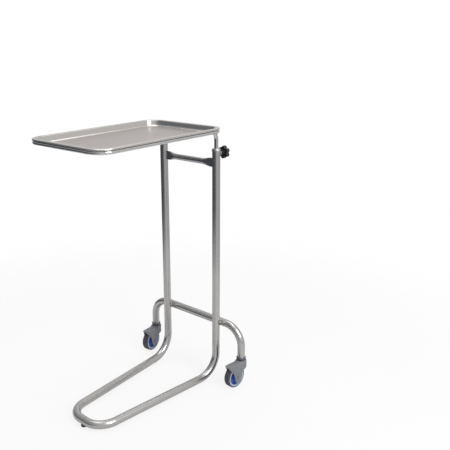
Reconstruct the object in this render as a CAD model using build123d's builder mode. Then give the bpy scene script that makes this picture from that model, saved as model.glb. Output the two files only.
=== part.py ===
from build123d import *
import os
from math import cos, pi, radians, sin, sqrt

os.makedirs("parts", exist_ok=True)

# Instrument stand with a lift-off tray on a height-adjustable carrier.
# Sizes are in millimetres and angles in degrees. X runs across the stand, the tray
# reaches out towards -Y, and Z is up from the floor. The origin is on the floor, under
# the middle of the whole stand.

# Stock that the stand is bent from
TUBE_OD = 25.4
TUBE_WALL = 1.5
ROD_OD = 12.7

# Main frame: two posts, two low runs and the bend that joins them in front
POST_SPACING = 230.0
POST_TOP = 788.0
RUN_CLEARANCE = 6.9
RUN_REACH = 474.0
RUN_SPREAD = 141.0
HEEL_BEND_R = 76.0
TOE_BEND_R = 62.0

# Rear arch that carries the casters
ARCH_SPACING = 409.4
ARCH_BAR_HEIGHT = 198.6
ARCH_BEND_R = 66.0
WELD_GAP = 0.2
WELD_R = 9.0

# Cross brace, a tube whose ends are pressed flat
BRACE_OD = 19.05
BRACE_WALL = 1.25
BRACE_DROP = 40.0
BRACE_PRESS_LENGTH = 38.0
BRACE_FLAT_LENGTH = 7.0
BRACE_SEAM = 0.3

# Guide bushings in the tops of the posts
BUSHING_DEPTH = 36.0
BUSHING_CAP_LIP = 1.2
BUSHING_CAP_HEIGHT = 7.0
BUSHING_SKIRT = 2.0
BUSHING_LAND = 2.2
BUSHING_SHOULDER = 1.5
BUSHING_DOME = 1.15

# Clamp on the back of one post
CLAMP_DROP = 9.5
CLAMP_BOSS_OD = 14.0
CLAMP_BOSS_LENGTH = 8.5
CLAMP_BOSS_EDGE = 1.0
STUD_OD = 8.0
STUD_TIP = 1.2
KNOB_LOBES = 6
KNOB_OD = 41.0
KNOB_LOBE_R = 6.4
KNOB_VALLEY_R = 4.0
KNOB_THICKNESS = 13.0
KNOB_NECK_OD = 17.0
KNOB_NECK_LENGTH = 9.0
KNOB_NECK_FLARE = 4.0
KNOB_EDGE_R = 1.8
KNOB_TURN = 4.0
KNOB_DISH_MARGIN = 4.0
KNOB_DISH_DEPTH = 1.2
KNOB_DISH_FLARE = 20.0

# Tray carrier: two bent rods and the ring that the tray's rim sits on
RING_OD = 9.5
RING_INSET = 0.5
ROD_BEND_R = 30.0
ROD_BEND_RISE = 38.0
ROD_COPE = 1.5
ROD_INSERTION = 480.0
GUIDE_LENGTH = 26.0
GUIDE_SEAT_DEPTH = 16.0
GUIDE_EDGE = 1.5
CARRIER_DROOP = 1.3

# Tray
TRAY_WIDTH = 320.7
TRAY_LENGTH = 485.8
TRAY_DEPTH = 19.05
TRAY_SHEET = 0.9
TRAY_CORNER_R = 50.0
TRAY_HEM_OD = 5.6
TRAY_FLANGE = 12.5
TRAY_WALL_SLOPE = 14.0
TRAY_FLOOR_R = 8.0
TRAY_FLANGE_LAP = 0.5
TRAY_REAR_GAP = 5.0
TRAY_RIM_RISE = 76.3

# Casters
WHEEL_OD = 76.0
WHEEL_WIDTH = 24.0
CASTER_LEAD = 33.0
SWIVEL_ANGLES = {"left": -8.0, "right": 4.0}
TYRE_DEPTH = 4.5
BAND_DEPTH = 6.0
TYRE_CROWN_FLAT = 16.0
TYRE_SHOULDER = 1.5
TYRE_BULGE = 0.6
TYRE_SIDE_INSET = 1.2
BAND_LIP = 1.6
BAND_FACE_INSET = 1.0
HUB_BOSS_OD = 20.0
HUB_WEB = 7.0
HUB_BOSS_EDGE = 1.5
HUB_RIM_INSET = 3.5
HUB_RIM_WALL = 2.0
AXLE_OD = 8.0
AXLE_INSET = 0.6
AXLE_EDGE = 0.8
WHEEL_BUSH_OD = 12.0
FORK_WALL = 3.4
WHEEL_GAP = 2.0
HOOD_RISE = 10.6
HOOD_CAMBER = 4.4
HOOD_REAR = 20.0
HOOD_LIP = 76.0
HOOD_LIP_DROP = 1.0
HOOD_LIP_FACE = (1.0, 3.0)
ROOF_FLAT_END = 14.0
ROOF_PEAK_AT = 44.0
THROAT_AT = (58.0, 15.6)
NAPE_DROP = 22.6
NAPE_LEAN = 4.0
WAIST_AT = (-12.0, 38.6)
LEG_END_R = 19.0
LEG_END_TURN = 20.0
BEAK_START = 48.0
BEAK_SHOULDER = 11.0
BEAK_FULLNESS = 0.7
BEAK_HALF = 3.0
SWIVEL_BOSS_OD = 20.0
SWIVEL_BOSS_DROP = 14.0
JOURNAL_OD = 10.0
STEM_OD = 11.0
STEM_LENGTH = 36.0
STEM_FLANGE_OD = 25.0
STEM_FLANGE = 2.4
STEM_EDGE = 1.0
STEM_CLIP = 2.0
SOCKET_WALL = 3.1
SOCKET_FLOOR = 2.0
SOCKET_GAP = 0.2
SOCKET_CUP = 7.5
SOCKET_BEVEL = (2.0, 3.0)
SOCKET_EDGE = 1.0
SPIGOT_LENGTH = 30.0

# Front glide
GLIDE_OD = 19.0
GLIDE_SADDLE = 3.0
GLIDE_EDGE_R = 1.5
GLIDE_SCREW_OD = 4.0
GLIDE_SCREW_HEAD_OD = 8.0
GLIDE_SCREW_HEAD = 2.0
GLIDE_SCREW_RECESS = 1.2

# Fits
RUNNING = 0.05
SEAT = 0.3
ADJUST = 0.35

# Places that follow from the sizes above
TUBE_R = TUBE_OD / 2
BORE_R = TUBE_R - TUBE_WALL
ROD_R = ROD_OD / 2
POST_X = POST_SPACING / 2
RUN_HEIGHT = RUN_CLEARANCE + TUBE_R
BRACE_HEIGHT = POST_TOP - BRACE_DROP
BUSHING_CAP_OD = TUBE_OD + 2 * BUSHING_CAP_LIP
ROD_BEND_HEIGHT = POST_TOP + ROD_BEND_RISE
TRAY_RIM_HEIGHT = POST_TOP + TRAY_RIM_RISE
HOOD_TOP = WHEEL_OD + HOOD_RISE
HOOD_CROWN = HOOD_TOP + HOOD_CAMBER
SOCKET_OD = TUBE_OD + 2 * SOCKET_WALL
ARCH_FOOT = HOOD_TOP + SEAT + STEM_FLANGE + SOCKET_GAP + SOCKET_FLOOR
KNOB_BACK = TUBE_R + CLAMP_BOSS_LENGTH + SEAT + KNOB_NECK_LENGTH + KNOB_THICKNESS
POST_Y = (TRAY_REAR_GAP + TRAY_LENGTH - KNOB_BACK) / 2
ARCH_Y = POST_Y + TUBE_OD + WELD_GAP
CLAMP_Z = POST_TOP - CLAMP_DROP
UP = Vector(0, 0, 1)
BACK = Vector(0, 1, 0)
SIDES = {"left": -1, "right": 1}
CLAMP_SIDE = "right"


def finish(name, builder):
    """Label a finished sub-part and write it under its own name."""
    builder.part.label = name
    export_step(builder.part, f"parts/{name}.step")


def upright_plane(origin, sideways):
    """A vertical plane whose X runs along sideways and whose Y is up."""
    return Plane(origin=origin, x_dir=sideways, z_dir=Vector(sideways).cross(UP))


def bent_bar(points, radii, outer_r, inner_r=0.0):
    """A bar or tube that runs along straight lines joined by bends."""
    with BuildPart() as bar:
        with BuildLine() as route:
            FilletPolyline(*points, radius=radii)
        with BuildSketch(Plane(origin=route.line @ 0, z_dir=route.line % 0)):
            Circle(outer_r)
            if inner_r:
                Circle(inner_r, mode=Mode.SUBTRACT)
        sweep(path=route.line)
    return bar


# Main frame

FRONT_Y = POST_Y - RUN_REACH
FRAME_ROUTE = [
    (-POST_X, POST_Y, POST_TOP),
    (-POST_X, POST_Y, RUN_HEIGHT),
    (-RUN_SPREAD / 2, FRONT_Y, RUN_HEIGHT),
    (RUN_SPREAD / 2, FRONT_Y, RUN_HEIGHT),
    (POST_X, POST_Y, RUN_HEIGHT),
    (POST_X, POST_Y, POST_TOP),
]
FRAME_BENDS = [HEEL_BEND_R, TOE_BEND_R, TOE_BEND_R, HEEL_BEND_R]
GLIDE_SPOT = Plane(origin=(0, FRONT_Y, 0))

clamp_x = SIDES[CLAMP_SIDE] * POST_X
frame_tube = bent_bar(FRAME_ROUTE, FRAME_BENDS, TUBE_R, BORE_R)
with BuildPart() as main_frame:
    add(frame_tube.part)
    with BuildSketch(Plane(origin=(clamp_x, POST_Y, CLAMP_Z), z_dir=BACK)):
        Circle(STUD_OD / 2 + ADJUST)
    extrude(amount=TUBE_OD, mode=Mode.SUBTRACT)
    with BuildSketch(GLIDE_SPOT):
        Circle(GLIDE_SCREW_OD / 2)
    extrude(amount=RUN_HEIGHT, mode=Mode.SUBTRACT)
finish("main_frame", main_frame)

# Rear arch, its two welds to the posts

ARCH_X = ARCH_SPACING / 2
ARCH_ROUTE = [
    (-ARCH_X, ARCH_Y, ARCH_FOOT),
    (-ARCH_X, ARCH_Y, ARCH_BAR_HEIGHT),
    (ARCH_X, ARCH_Y, ARCH_BAR_HEIGHT),
    (ARCH_X, ARCH_Y, ARCH_FOOT),
]
finish("rear_arch", bent_bar(ARCH_ROUTE, [ARCH_BEND_R, ARCH_BEND_R], TUBE_R, BORE_R))

CROSSINGS = [(x, POST_Y, ARCH_BAR_HEIGHT) for x in (-POST_X, POST_X)]
with BuildPart() as arch_welds:
    for crossing in CROSSINGS:
        with BuildSketch(Plane(origin=crossing, z_dir=BACK)):
            Circle(WELD_R)
        extrude(amount=ARCH_Y - POST_Y)
    with Locations(*CROSSINGS):
        Cylinder(TUBE_R, TUBE_OD * 2, mode=Mode.SUBTRACT)
    with Locations((0, ARCH_Y, ARCH_BAR_HEIGHT)):
        Cylinder(TUBE_R, ARCH_SPACING, rotation=(0, 90, 0), mode=Mode.SUBTRACT)
finish("arch_welds", arch_welds)

# Cross brace: round in the middle, pressed flat and upright at both ends, with the
# ends coped to the posts. Pressing keeps the length round the tube's wall.

BRACE_FLAT_THICKNESS = 2 * BRACE_WALL + BRACE_SEAM
BRACE_FLAT_HEIGHT = pi * (BRACE_OD - BRACE_WALL) / 2 + BRACE_WALL
ROUNDNESS = 0.02


def brace_section(x, flatness, inset):
    """A section of the pressed tube, from round at flatness 0 to flat at 1."""
    thick = BRACE_OD + (BRACE_FLAT_THICKNESS - BRACE_OD) * flatness - 2 * inset
    tall = BRACE_OD + (BRACE_FLAT_HEIGHT - BRACE_OD) * flatness - 2 * inset
    place = Plane(origin=(x, POST_Y, BRACE_HEIGHT), x_dir=BACK, z_dir=(1, 0, 0))
    with BuildSketch(place) as section:
        RectangleRounded(thick, tall, min(thick, tall) / 2 - ROUNDNESS)
    return section.sketch


def pressed_tube(inset):
    """Half of the brace, from the middle of the stand out to a post's centre."""
    flat_x = POST_X - TUBE_R - BRACE_FLAT_LENGTH
    round_x = flat_x - BRACE_PRESS_LENGTH
    steps = ((0, 0), (0.3, 0.2), (0.7, 0.82), (1, 1))
    places = [(round_x + share * BRACE_PRESS_LENGTH, flatness) for share, flatness in steps]
    with BuildPart() as half:
        loft([brace_section(0, 0, inset), brace_section(round_x, 0, inset)], ruled=True)
        loft([brace_section(x, flatness, inset) for x, flatness in places])
        if not inset:
            loft([brace_section(flat_x, 1, inset), brace_section(POST_X, 1, inset)], ruled=True)
    return half


brace_skin = pressed_tube(0)
brace_hollow = pressed_tube(BRACE_WALL)
with BuildPart() as cross_brace:
    add(brace_skin.part)
    add(brace_hollow.part, mode=Mode.SUBTRACT)
    mirror(about=Plane.YZ)
    with Locations(*[(x, POST_Y, BRACE_HEIGHT) for x in (-POST_X, POST_X)]):
        Cylinder(TUBE_R, BRACE_OD * 3, mode=Mode.SUBTRACT)
finish("cross_brace", cross_brace)

# Guide bushings, one in the top of each post

for side, sign in SIDES.items():
    post_top = (sign * POST_X, POST_Y, POST_TOP)
    bore_r = ROD_R + RUNNING
    sleeve_r = BORE_R - RUNNING
    skirt_r = TUBE_R + RUNNING
    cap_r = BUSHING_CAP_OD / 2
    crown_r = bore_r + BUSHING_LAND
    with BuildPart() as bushing:
        with BuildSketch(upright_plane(post_top, (1, 0, 0))):
            with BuildLine():
                outline = Polyline(
                    (crown_r, BUSHING_CAP_HEIGHT),
                    (bore_r, BUSHING_CAP_HEIGHT),
                    (bore_r, -BUSHING_DEPTH),
                    (sleeve_r, -BUSHING_DEPTH),
                    (sleeve_r, 0),
                    (skirt_r, 0),
                    (skirt_r, -BUSHING_SKIRT),
                    (cap_r, -BUSHING_SKIRT),
                    (cap_r, BUSHING_SHOULDER),
                )
                RadiusArc(outline @ 1, outline @ 0, -(cap_r - crown_r) * BUSHING_DOME)
            make_face()
        revolve(axis=Axis(post_top, UP))
        if side == CLAMP_SIDE:
            with BuildSketch(Plane(origin=(sign * POST_X, POST_Y, CLAMP_Z), z_dir=BACK)):
                Circle(STUD_OD / 2 + ADJUST)
            extrude(amount=TUBE_OD, mode=Mode.SUBTRACT)
    finish(f"{side}_guide_bushing", bushing)

# Clamp: a threaded boss on the post, and the knob with its stud

CLAMP_AT = Plane(origin=(clamp_x, POST_Y, CLAMP_Z), z_dir=BACK)
BOSS_FACE = TUBE_R + CLAMP_BOSS_LENGTH
with BuildPart() as clamp_boss:
    with BuildSketch(CLAMP_AT):
        Circle(CLAMP_BOSS_OD / 2)
    extrude(amount=BOSS_FACE)
    with Locations((clamp_x, POST_Y, CLAMP_Z)):
        Cylinder(TUBE_R, CLAMP_BOSS_OD * 2, mode=Mode.SUBTRACT)
    with BuildSketch(CLAMP_AT):
        Circle(STUD_OD / 2 + RUNNING)
    extrude(amount=BOSS_FACE, mode=Mode.SUBTRACT)
    chamfer(clamp_boss.faces().sort_by(Axis.Y)[-1].outer_wire().edges(), CLAMP_BOSS_EDGE)
finish("clamp_boss", clamp_boss)

NECK_START = BOSS_FACE + SEAT
HEAD_START = NECK_START + KNOB_NECK_LENGTH
STUD_END = HEAD_START + KNOB_THICKNESS / 2
with BuildPart() as clamp_stud:
    with BuildSketch(CLAMP_AT.offset(ROD_R + SEAT)):
        Circle(STUD_OD / 2)
    extrude(amount=STUD_END - ROD_R - SEAT)
    chamfer(clamp_stud.faces().sort_by(Axis.Y)[0].edges(), STUD_TIP)
finish("clamp_stud", clamp_stud)

LOBE_CIRCLE_R = KNOB_OD / 2 - KNOB_LOBE_R
HALF_LOBE = radians(180 / KNOB_LOBES)
TOUCH = KNOB_LOBE_R + KNOB_VALLEY_R
VALLEY_CIRCLE_R = LOBE_CIRCLE_R * cos(HALF_LOBE) + sqrt(
    TOUCH**2 - (LOBE_CIRCLE_R * sin(HALF_LOBE)) ** 2
)


def polar(radius, angle):
    """A point at a radius and an angle in radians."""
    return Vector(radius * cos(angle), radius * sin(angle))


with BuildPart() as clamp_knob:
    with BuildSketch(CLAMP_AT.offset(HEAD_START)):
        with BuildLine():
            for lobe in range(KNOB_LOBES):
                at = radians(KNOB_TURN) + 2 * HALF_LOBE * lobe
                centre = polar(LOBE_CIRCLE_R, at)
                towards = [polar(VALLEY_CIRCLE_R, at + HALF_LOBE * way) for way in (-1, 1)]
                ends = [centre + (valley - centre) * (KNOB_LOBE_R / TOUCH) for valley in towards]
                ThreePointArc(ends[0], polar(KNOB_OD / 2, at), ends[1])
                after = polar(LOBE_CIRCLE_R, at + 2 * HALF_LOBE)
                start = after + (towards[1] - after) * (KNOB_LOBE_R / TOUCH)
                dip = polar(VALLEY_CIRCLE_R - KNOB_VALLEY_R, at + HALF_LOBE)
                ThreePointArc(ends[1], dip, start)
        make_face()
    extrude(amount=KNOB_THICKNESS)
    rims = clamp_knob.edges().filter_by(GeomType.LINE, reverse=True).group_by(Axis.Y)
    fillet(rims[0] + rims[-1], KNOB_EDGE_R)
    with BuildSketch(CLAMP_AT.offset(NECK_START)):
        Circle(KNOB_NECK_OD / 2)
    extrude(amount=KNOB_NECK_LENGTH, taper=-KNOB_NECK_FLARE)
    with BuildSketch(CLAMP_AT.offset(NECK_START)):
        Circle(STUD_OD / 2)
    extrude(amount=STUD_END - NECK_START, mode=Mode.SUBTRACT)
    with BuildSketch(CLAMP_AT.offset(HEAD_START + KNOB_THICKNESS - KNOB_DISH_DEPTH)):
        Circle(LOBE_CIRCLE_R - KNOB_DISH_MARGIN)
    extrude(amount=2 * KNOB_DISH_DEPTH, taper=-KNOB_DISH_FLARE, mode=Mode.SUBTRACT)
finish("clamp_knob", clamp_knob)

# Tray and its carrier lie in planes that droop a little towards the front

LEVEL = Vector(0, cos(radians(CARRIER_DROOP)), sin(radians(CARRIER_DROOP)))
TRAY_TILTED = Vector(1, 0, 0).cross(LEVEL)
RIM_REAR = Vector(0, POST_Y - TRAY_REAR_GAP, TRAY_RIM_HEIGHT)
RIM = Plane(origin=RIM_REAR - LEVEL * (TRAY_LENGTH / 2), x_dir=(1, 0, 0), z_dir=TRAY_TILTED)
RING_R = RING_OD / 2
RING_DROP = TRAY_HEM_OD + SEAT + RING_R
RING_WIDTH = TRAY_WIDTH - 2 * (RING_R + RING_INSET)
RING_LENGTH = TRAY_LENGTH - 2 * (RING_R + RING_INSET)
RING_CORNER_R = TRAY_CORNER_R - RING_R - RING_INSET

with BuildSketch(RIM.offset(-RING_DROP)) as ring_outline:
    RectangleRounded(RING_WIDTH, RING_LENGTH, RING_CORNER_R)
ring_route = ring_outline.sketch.face().outer_wire()
with BuildPart() as tray_ring:
    with BuildSketch(Plane(origin=ring_route @ 0, z_dir=ring_route % 0)):
        Circle(RING_R)
    sweep(path=ring_route)
finish("tray_ring", tray_ring)

# Each rod bends forward at its top and is coped to the ring's rear bar.
for side, sign in SIDES.items():
    foot = Vector(sign * POST_X, POST_Y, POST_TOP - ROD_INSERTION)
    bend = Vector(sign * POST_X, POST_Y, ROD_BEND_HEIGHT)
    joint = RIM.from_local_coords(Vector(sign * POST_X, RING_LENGTH / 2, -RING_DROP))
    rod_top = joint + (bend - joint).normalized() * ROD_COPE
    rod = bent_bar([foot, bend, rod_top], [ROD_BEND_R], ROD_R)
    with BuildPart() as carrier_rod:
        add(rod.part)
        add(tray_ring.part, mode=Mode.SUBTRACT)
    finish(f"{side}_carrier_rod", carrier_rod)

    with BuildPart() as guide:
        with BuildSketch(Plane.XY.offset(foot.Z + GUIDE_SEAT_DEPTH - GUIDE_LENGTH)):
            with Locations((foot.X, foot.Y)):
                Circle(BORE_R - RUNNING)
        extrude(amount=GUIDE_LENGTH)
        chamfer(guide.edges(), GUIDE_EDGE)
        with BuildSketch(Plane.XY.offset(foot.Z)):
            with Locations((foot.X, foot.Y)):
                Circle(ROD_R)
        extrude(amount=GUIDE_SEAT_DEPTH, mode=Mode.SUBTRACT)
    finish(f"{side}_rod_guide", guide)

# Tray: a pressed pan whose flange is rolled over a wire

MOUTH_WIDTH = TRAY_WIDTH - 2 * TRAY_FLANGE
MOUTH_LENGTH = TRAY_LENGTH - 2 * TRAY_FLANGE
MOUTH_R = TRAY_CORNER_R - TRAY_FLANGE
HEM_R = TRAY_HEM_OD / 2


def pan_block(inset, depth, floor_r):
    """The pan as a solid block, its walls sloping in and its floor edge rounded."""
    with BuildPart() as block:
        with BuildSketch(RIM):
            RectangleRounded(MOUTH_WIDTH - 2 * inset, MOUTH_LENGTH - 2 * inset, MOUTH_R - inset)
        extrude(amount=-depth, taper=TRAY_WALL_SLOPE)
        fillet(block.faces().sort_by(Axis.Z)[0].edges(), floor_r)
    return block


pan_outside = pan_block(0, TRAY_DEPTH, TRAY_FLOOR_R)
pan_inside = pan_block(TRAY_SHEET, TRAY_DEPTH - TRAY_SHEET, TRAY_FLOOR_R - TRAY_SHEET)
with BuildSketch(RIM.offset(-HEM_R)) as hem_outline:
    RectangleRounded(TRAY_WIDTH - TRAY_HEM_OD, TRAY_LENGTH - TRAY_HEM_OD, TRAY_CORNER_R - HEM_R)
hem_route = hem_outline.sketch.face().outer_wire()
with BuildPart() as tray:
    with BuildSketch(Plane(origin=hem_route @ 0, z_dir=hem_route % 0)):
        Circle(HEM_R)
    sweep(path=hem_route)
    with BuildSketch(RIM.offset(-TRAY_SHEET)):
        RectangleRounded(TRAY_WIDTH - TRAY_HEM_OD, TRAY_LENGTH - TRAY_HEM_OD, TRAY_CORNER_R - HEM_R)
        RectangleRounded(
            MOUTH_WIDTH - 2 * TRAY_FLANGE_LAP,
            MOUTH_LENGTH - 2 * TRAY_FLANGE_LAP,
            MOUTH_R - TRAY_FLANGE_LAP,
            mode=Mode.SUBTRACT,
        )
    extrude(amount=TRAY_SHEET)
    add(pan_outside.part)
    add(pan_inside.part, mode=Mode.SUBTRACT)
finish("tray", tray)

# Front glide and its screw

frame_bar = bent_bar(FRAME_ROUTE, FRAME_BENDS, TUBE_R)
with BuildPart() as front_glide:
    with BuildSketch(GLIDE_SPOT):
        Circle(GLIDE_OD / 2)
    extrude(amount=RUN_HEIGHT - TUBE_R + GLIDE_SADDLE)
    fillet(front_glide.edges().group_by(Axis.Z)[0], GLIDE_EDGE_R)
    add(frame_bar.part, mode=Mode.SUBTRACT)
    with BuildSketch(GLIDE_SPOT):
        Circle(GLIDE_SCREW_HEAD_OD / 2)
    extrude(amount=GLIDE_SCREW_RECESS + GLIDE_SCREW_HEAD, mode=Mode.SUBTRACT)
    with BuildSketch(GLIDE_SPOT):
        Circle(GLIDE_SCREW_OD / 2)
    extrude(amount=RUN_HEIGHT, mode=Mode.SUBTRACT)
finish("front_glide", front_glide)

with BuildPart() as glide_screw:
    with BuildSketch(GLIDE_SPOT.offset(GLIDE_SCREW_RECESS)):
        Circle(GLIDE_SCREW_HEAD_OD / 2)
    extrude(amount=GLIDE_SCREW_HEAD)
    with BuildSketch(GLIDE_SPOT.offset(GLIDE_SCREW_RECESS)):
        Circle(GLIDE_SCREW_OD / 2)
    extrude(amount=RUN_HEIGHT - TUBE_R + 2 * TUBE_WALL)
finish("glide_screw", glide_screw)

# Casters

AXLE_Z = WHEEL_OD / 2
FORK_HALF = WHEEL_WIDTH / 2 + WHEEL_GAP + FORK_WALL
WELL_HALF = WHEEL_WIDTH / 2 + WHEEL_GAP
TYRE_IN_R = WHEEL_OD / 2 - TYRE_DEPTH
BAND_IN_R = TYRE_IN_R - BAND_DEPTH
FLANGE_Z = HOOD_TOP + SEAT
SOCKET_Z = ARCH_FOOT - SOCKET_FLOOR


def hood_outline():
    """Side view of the fork: hood, sharp lip, and legs round the axle."""
    axle_at = Vector(CASTER_LEAD, AXLE_Z)
    heel = radians(LEG_END_TURN)
    leg_foot = axle_at - Vector(cos(heel), sin(heel)) * LEG_END_R
    with BuildSketch() as outline:
        with BuildLine():
            roof = Spline(
                (ROOF_FLAT_END, HOOD_TOP),
                (ROOF_PEAK_AT, HOOD_CROWN),
                (HOOD_LIP, HOOD_CROWN - HOOD_LIP_DROP),
                tangents=((1, 0.05), (1, -0.25)),
            )
            front = Spline(
                roof @ 1 - Vector(*HOOD_LIP_FACE),
                (THROAT_AT[0], HOOD_TOP - THROAT_AT[1]),
                axle_at + Vector(LEG_END_R, 0),
                tangents=((-1, -0.9), (0, -1)),
            )
            Line(roof @ 1, front @ 0)
            leg = RadiusArc(front @ 1, leg_foot, LEG_END_R)
            rear = Spline(
                leg @ 1,
                (WAIST_AT[0], HOOD_TOP - WAIST_AT[1]),
                (-HOOD_REAR, HOOD_TOP - NAPE_DROP),
                (-HOOD_REAR + NAPE_LEAN, HOOD_TOP),
                tangents=((-sin(heel), cos(heel)), (0.12, 1)),
            )
            Line(rear @ 1, roof @ 0)
        make_face()
    return outline.sketch


def plan_outline(inset):
    """Top view of the fork: round behind, straight sides and a rounded nose."""
    half = FORK_HALF - inset
    nose = HOOD_LIP - inset
    with BuildSketch() as outline:
        with BuildLine():
            flank = Line((0, half), (BEAK_START, half))
            beak = ThreePointArc(
                flank @ 1, (nose - BEAK_SHOULDER, half * BEAK_FULLNESS), (nose, BEAK_HALF)
            )
            Line(beak @ 1, (nose, 0))
            Polyline((nose, 0), (0, 0), (0, half))
        make_face()
        mirror(about=Plane.XZ)
        Ellipse(HOOD_REAR - inset, half)
    return outline.sketch


for side, sign in SIDES.items():
    turn = radians(SWIVEL_ANGLES[side])
    trail = Vector(-sin(turn), -cos(turn), 0)
    across = UP.cross(trail)
    pivot = Vector(sign * ARCH_X, ARCH_Y, 0)
    swivel_axis = Axis(pivot, UP)
    side_view = upright_plane(pivot, trail)
    plan_view = Plane(origin=pivot, x_dir=trail, z_dir=UP)
    hub_centre = pivot + trail * CASTER_LEAD + UP * AXLE_Z
    wheel_axis = Axis(hub_centre, across)
    half_view = upright_plane(hub_centre, across)
    axle_view = Plane(origin=hub_centre, x_dir=trail, z_dir=across)

    # Socket pressed over and into the foot of the arch
    spigot_r = BORE_R - RUNNING
    cup_r = SOCKET_OD / 2
    with BuildPart() as socket:
        with BuildSketch(upright_plane(pivot + UP * SOCKET_Z, (1, 0, 0))):
            with BuildLine():
                Polyline(
                    (STEM_OD / 2, 0),
                    (cup_r - SOCKET_BEVEL[0], 0),
                    (cup_r, SOCKET_BEVEL[1]),
                    (cup_r, SOCKET_CUP - SOCKET_EDGE),
                    (cup_r - SOCKET_EDGE, SOCKET_CUP),
                    (TUBE_R, SOCKET_CUP),
                    (TUBE_R, SOCKET_FLOOR),
                    (spigot_r, SOCKET_FLOOR),
                    (spigot_r, SPIGOT_LENGTH),
                    (STEM_OD / 2, SPIGOT_LENGTH),
                    close=True,
                )
            make_face()
        revolve(axis=swivel_axis)
    finish(f"{side}_caster_socket", socket)

    # Stem: held by the socket above, with the fork turning on its journal below
    journal_r = JOURNAL_OD / 2
    flange_r = STEM_FLANGE_OD / 2
    clip_z = HOOD_TOP - SWIVEL_BOSS_DROP - SEAT
    with BuildPart() as stem:
        with BuildSketch(upright_plane(pivot, (1, 0, 0))):
            with BuildLine():
                Polyline(
                    (0, clip_z - STEM_CLIP),
                    (journal_r + STEM_CLIP, clip_z - STEM_CLIP),
                    (journal_r + STEM_CLIP, clip_z),
                    (journal_r, clip_z),
                    (journal_r, FLANGE_Z),
                    (flange_r, FLANGE_Z),
                    (flange_r, FLANGE_Z + STEM_FLANGE),
                    (STEM_OD / 2, FLANGE_Z + STEM_FLANGE),
                    (STEM_OD / 2, SOCKET_Z + STEM_LENGTH - STEM_EDGE),
                    (STEM_OD / 2 - STEM_EDGE, SOCKET_Z + STEM_LENGTH),
                    (0, SOCKET_Z + STEM_LENGTH),
                    close=True,
                )
            make_face()
        revolve(axis=swivel_axis)
    finish(f"{side}_caster_stem", stem)

    # Fork: one moulded hood with two legs
    with BuildPart() as well:
        with BuildSketch(side_view):
            with BuildLine():
                Polyline(
                    (-HOOD_REAR + FORK_WALL, 0),
                    (-HOOD_REAR + FORK_WALL, HOOD_TOP - FORK_WALL),
                    (ROOF_FLAT_END + 2, HOOD_TOP - FORK_WALL),
                    (ROOF_PEAK_AT, HOOD_CROWN - FORK_WALL),
                    (HOOD_LIP + FORK_WALL, HOOD_CROWN - HOOD_LIP_DROP - FORK_WALL),
                    (HOOD_LIP + FORK_WALL, 0),
                    close=True,
                )
            make_face()
        extrude(amount=WELL_HALF, both=True)
        with BuildSketch(plan_view):
            add(plan_outline(FORK_WALL))
        extrude(amount=HOOD_CROWN, mode=Mode.INTERSECT)
        with BuildSketch(plan_view.offset(HOOD_TOP - SWIVEL_BOSS_DROP)):
            Circle(SWIVEL_BOSS_OD / 2)
        extrude(amount=SWIVEL_BOSS_DROP, mode=Mode.SUBTRACT)
    with BuildPart() as fork:
        with BuildSketch(side_view):
            add(hood_outline())
        extrude(amount=FORK_HALF, both=True)
        with BuildSketch(plan_view):
            add(plan_outline(0))
        extrude(amount=HOOD_CROWN * 2, mode=Mode.INTERSECT)
        add(well.part, mode=Mode.SUBTRACT)
        with BuildSketch(plan_view):
            Circle(journal_r + RUNNING)
        extrude(amount=HOOD_TOP, mode=Mode.SUBTRACT)
        with BuildSketch(axle_view):
            Circle(AXLE_OD / 2)
        extrude(amount=FORK_HALF, both=True, mode=Mode.SUBTRACT)
    finish(f"{side}_caster_fork", fork)

    with BuildPart() as axle:
        with BuildSketch(axle_view):
            Circle(AXLE_OD / 2)
        extrude(amount=FORK_HALF - AXLE_INSET, both=True)
        chamfer(axle.edges().filter_by(GeomType.CIRCLE), AXLE_EDGE)
    finish(f"{side}_caster_axle", axle)

    # Wheel: bush, hub, light band and tyre, one inside the other
    bush_r = WHEEL_BUSH_OD / 2
    with BuildPart() as wheel_bush:
        with BuildSketch(axle_view):
            Circle(bush_r)
            Circle(AXLE_OD / 2 + RUNNING, mode=Mode.SUBTRACT)
        extrude(amount=WHEEL_WIDTH / 2 + WHEEL_GAP - SEAT, both=True)
    finish(f"{side}_wheel_bush", wheel_bush)

    half_width = WHEEL_WIDTH / 2
    with BuildPart() as hub:
        with BuildSketch(half_view):
            with BuildLine():
                Polyline(
                    (0, bush_r),
                    (half_width, bush_r),
                    (half_width, HUB_BOSS_OD / 2 - HUB_BOSS_EDGE),
                    (half_width - HUB_BOSS_EDGE, HUB_BOSS_OD / 2),
                    (HUB_WEB / 2, HUB_BOSS_OD / 2 + HUB_RIM_WALL),
                    (HUB_WEB / 2, BAND_IN_R - 2 * HUB_RIM_WALL),
                    (half_width - HUB_RIM_INSET, BAND_IN_R - HUB_RIM_WALL),
                    (half_width - HUB_RIM_INSET, BAND_IN_R),
                    (0, BAND_IN_R),
                    close=True,
                )
            make_face()
            mirror(about=Plane.YZ)
        revolve(axis=wheel_axis)
    finish(f"{side}_wheel_hub", hub)

    with BuildPart() as band:
        with BuildSketch(half_view):
            with BuildLine():
                Polyline(
                    (0, BAND_IN_R),
                    (half_width - BAND_FACE_INSET - BAND_LIP, BAND_IN_R),
                    (half_width - BAND_FACE_INSET, BAND_IN_R + BAND_LIP),
                    (half_width - BAND_FACE_INSET, TYRE_IN_R),
                    (0, TYRE_IN_R),
                    close=True,
                )
            make_face()
            mirror(about=Plane.YZ)
        revolve(axis=wheel_axis)
    finish(f"{side}_wheel_band", band)

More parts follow.
